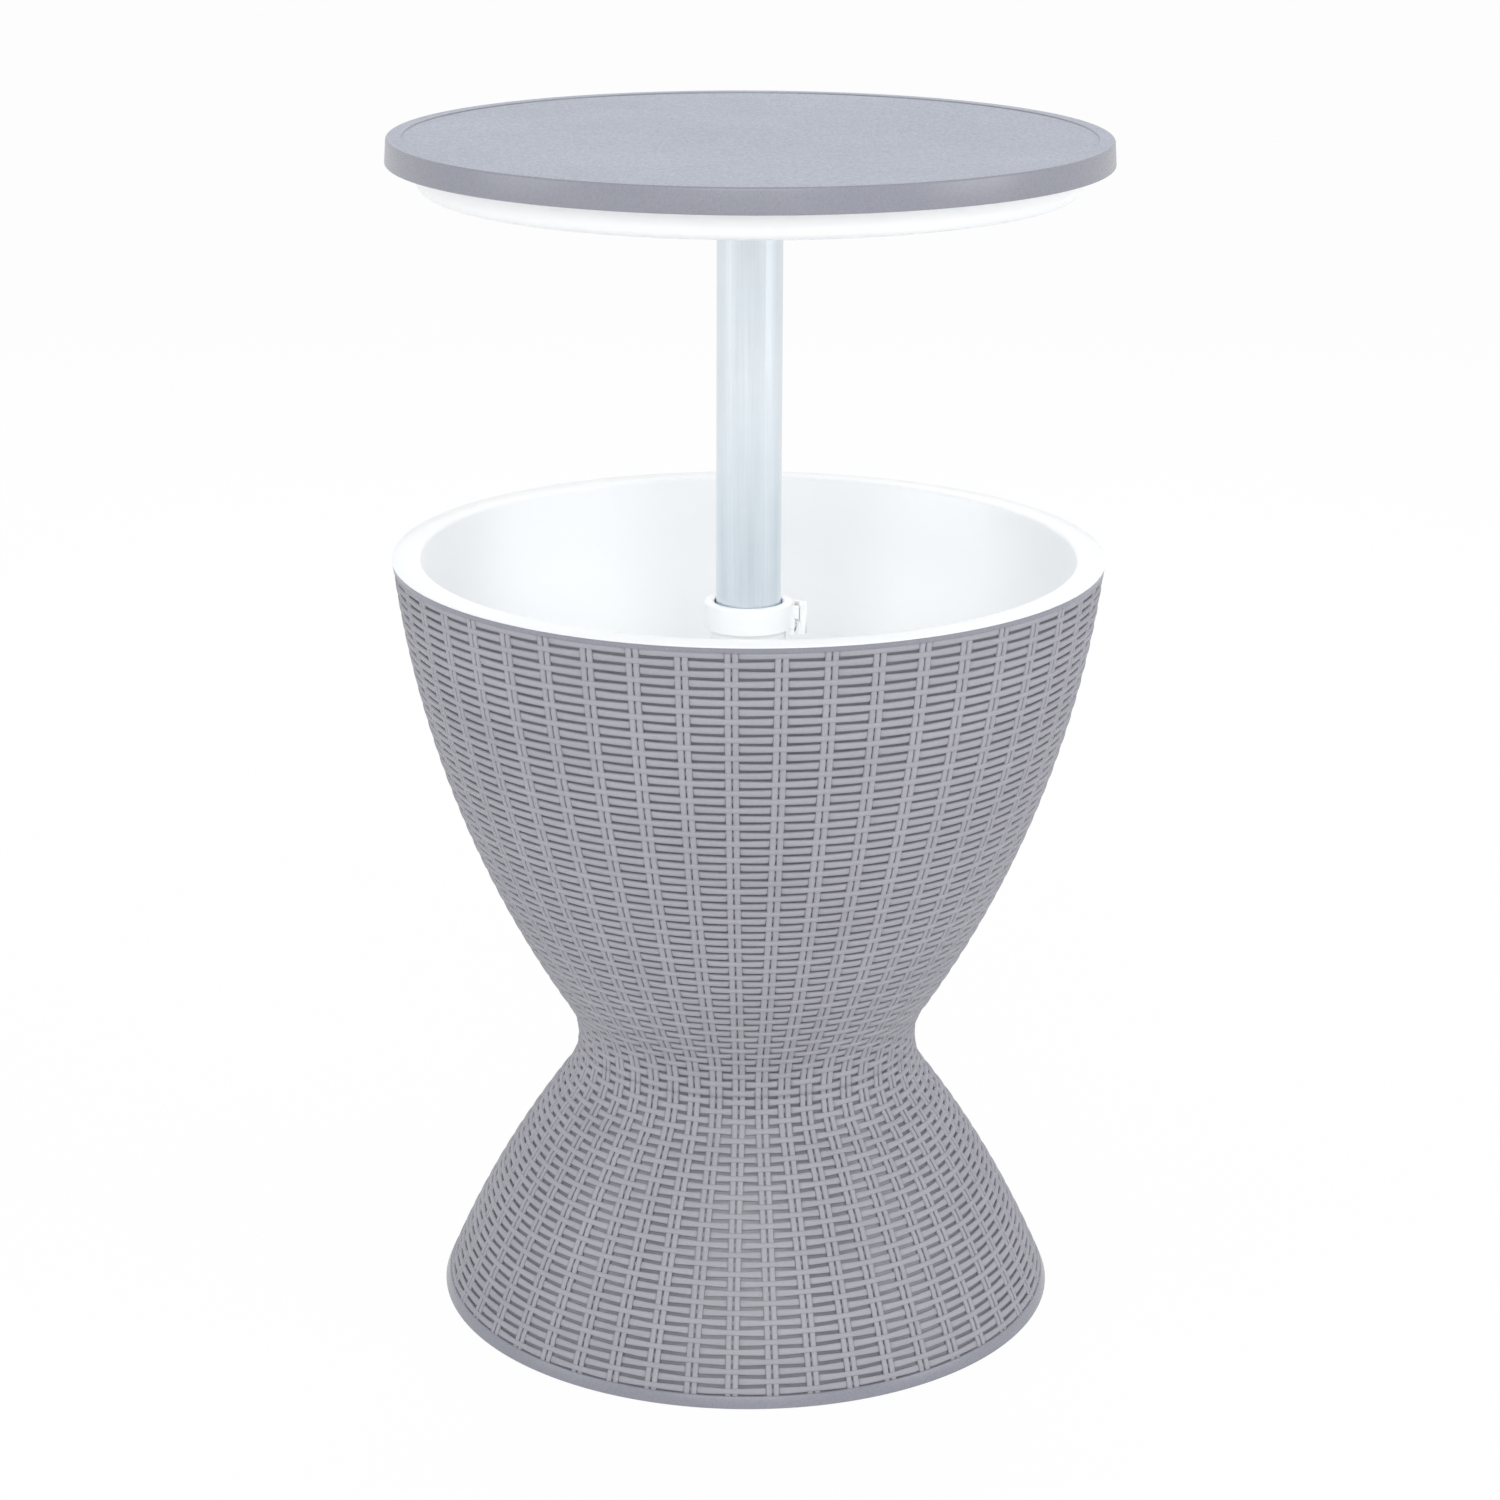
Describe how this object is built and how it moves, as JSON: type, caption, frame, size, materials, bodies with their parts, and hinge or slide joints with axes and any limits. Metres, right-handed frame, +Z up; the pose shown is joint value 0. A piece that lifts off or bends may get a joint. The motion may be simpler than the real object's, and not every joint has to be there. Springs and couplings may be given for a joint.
{
  "type": "cooler table",
  "caption": "Round outdoor cooler table: an hourglass woven-look body holds an ice bucket, and its insulated table top rises on a pole and locks.",
  "frame": {"origin": "centre of the foot ring on the ground, below the pole", "axes": "+Z up along the pole, -Y towards the pictured front, +X to the lock lever's side"},
  "size_m": [0.4989, 0.499, 0.843],
  "materials": {
    "taupe_plastic": "moulded woven look, matte",
    "white_plastic": "smooth satin",
    "grey_plastic": "smooth, self-lubricating",
    "foam": "expanded beads",
    "aluminium": "satin anodised",
    "steel": "zinc plated",
    "rubber": "soft matte"
  },
  "bodies": {
    "cooler": {"bucket": "white_plastic", "bucket_insulation": "foam", "upper_shell": "taupe_plastic", "base_shell": "taupe_plastic", "waist_screws": "steel", "centre_column": "white_plastic", "column_seal": "rubber", "column_nut": "white_plastic", "lock_collar": "white_plastic", "collar_screws": "steel", "lever_pin": "steel", "lever_spring": "steel", "drain_spout": "white_plastic", "drain_seal": "rubber", "drain_nut": "white_plastic"},
    "turning_guide": {"guide_bush": "white_plastic"},
    "top": {"table_top": "taupe_plastic", "lid_underside": "white_plastic", "lid_insulation": "foam", "lid_screws": "steel", "pole_socket": "white_plastic", "socket_screws": "steel", "socket_pin": "steel", "pole": "aluminium", "pole_foot": "grey_plastic", "foot_pin": "steel"},
    "lever": {"lock_lever": "white_plastic", "brake_shoe": "rubber"},
    "plug": {"drain_plug": "white_plastic", "plug_ring": "rubber"}
  },
  "joints": [
    {"name": "top_turn", "type": "hinge", "parent": "cooler", "child": "turning_guide", "pos_m": [0, 0, 0.5], "axis": [0, 0, 1], "continuous": true},
    {"name": "top_lift", "type": "slide", "parent": "turning_guide", "child": "top", "axis": [0, 0, 1], "range_m": [-0.273, 0]},
    {"name": "lever_rock", "type": "hinge", "parent": "cooler", "child": "lever", "pos_m": [0.0338, 0, 0.5048], "axis": [0, 1, 0], "range_deg": [0, 7], "stiffness_Nm_per_rad": 0.5, "springref_deg": -5.73},
    {"name": "plug_pull", "type": "slide", "parent": "cooler", "child": "plug", "axis": [0, 0, 1], "range_m": [0, 0.05]}
  ]
}
